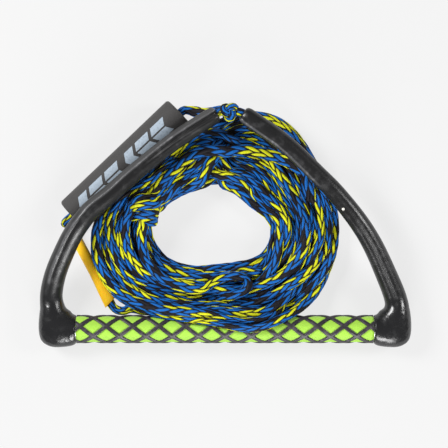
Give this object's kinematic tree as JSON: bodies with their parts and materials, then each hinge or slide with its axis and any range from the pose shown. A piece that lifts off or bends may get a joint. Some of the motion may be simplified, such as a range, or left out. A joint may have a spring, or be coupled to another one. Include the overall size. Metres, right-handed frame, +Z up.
{
  "type": "tow rope handle",
  "caption": "Water-ski tow rope handle with padded bar, moulded arms, bridle, foam float and its braided line coiled beside the grip.",
  "frame": {"origin": "centre of the handle's box, on the surface it lies on", "axes": "+X along the bar, +Y from the bar towards the bridle knot, +Z up out of the surface"},
  "size_m": [0.3808, 0.2517, 0.0577],
  "materials": {
    "tube": "satin",
    "bush": "matte",
    "grip": "matte",
    "ribs": "satin",
    "moulding": "satin",
    "rope": "matte",
    "foam": "matte",
    "sleeve": "gloss"
  },
  "bodies": {
    "handle": {"bar_tube": "tube", "tube_bush_left": "bush", "tube_bush_right": "bush", "grip_sleeve": "grip", "grip_lattice": "ribs", "arm_left": "moulding", "arm_right": "moulding", "bridle_rope": "rope", "bridle_knot": "rope", "tow_line": "rope", "rope_coil": "rope"},
    "float": {"rope_float": "foam"},
    "sleeve": {"line_sleeve": "sleeve"}
  },
  "joints": [
    {"name": "float_slide", "type": "slide", "parent": "handle", "child": "float", "axis": [0.7236, 0.6902, 0], "range_m": [-0.004, 0.006]},
    {"name": "sleeve_slide", "type": "slide", "parent": "handle", "child": "sleeve", "axis": [0.47, -0.8827, 0], "range_m": [-0.001, 0.004]}
  ]
}
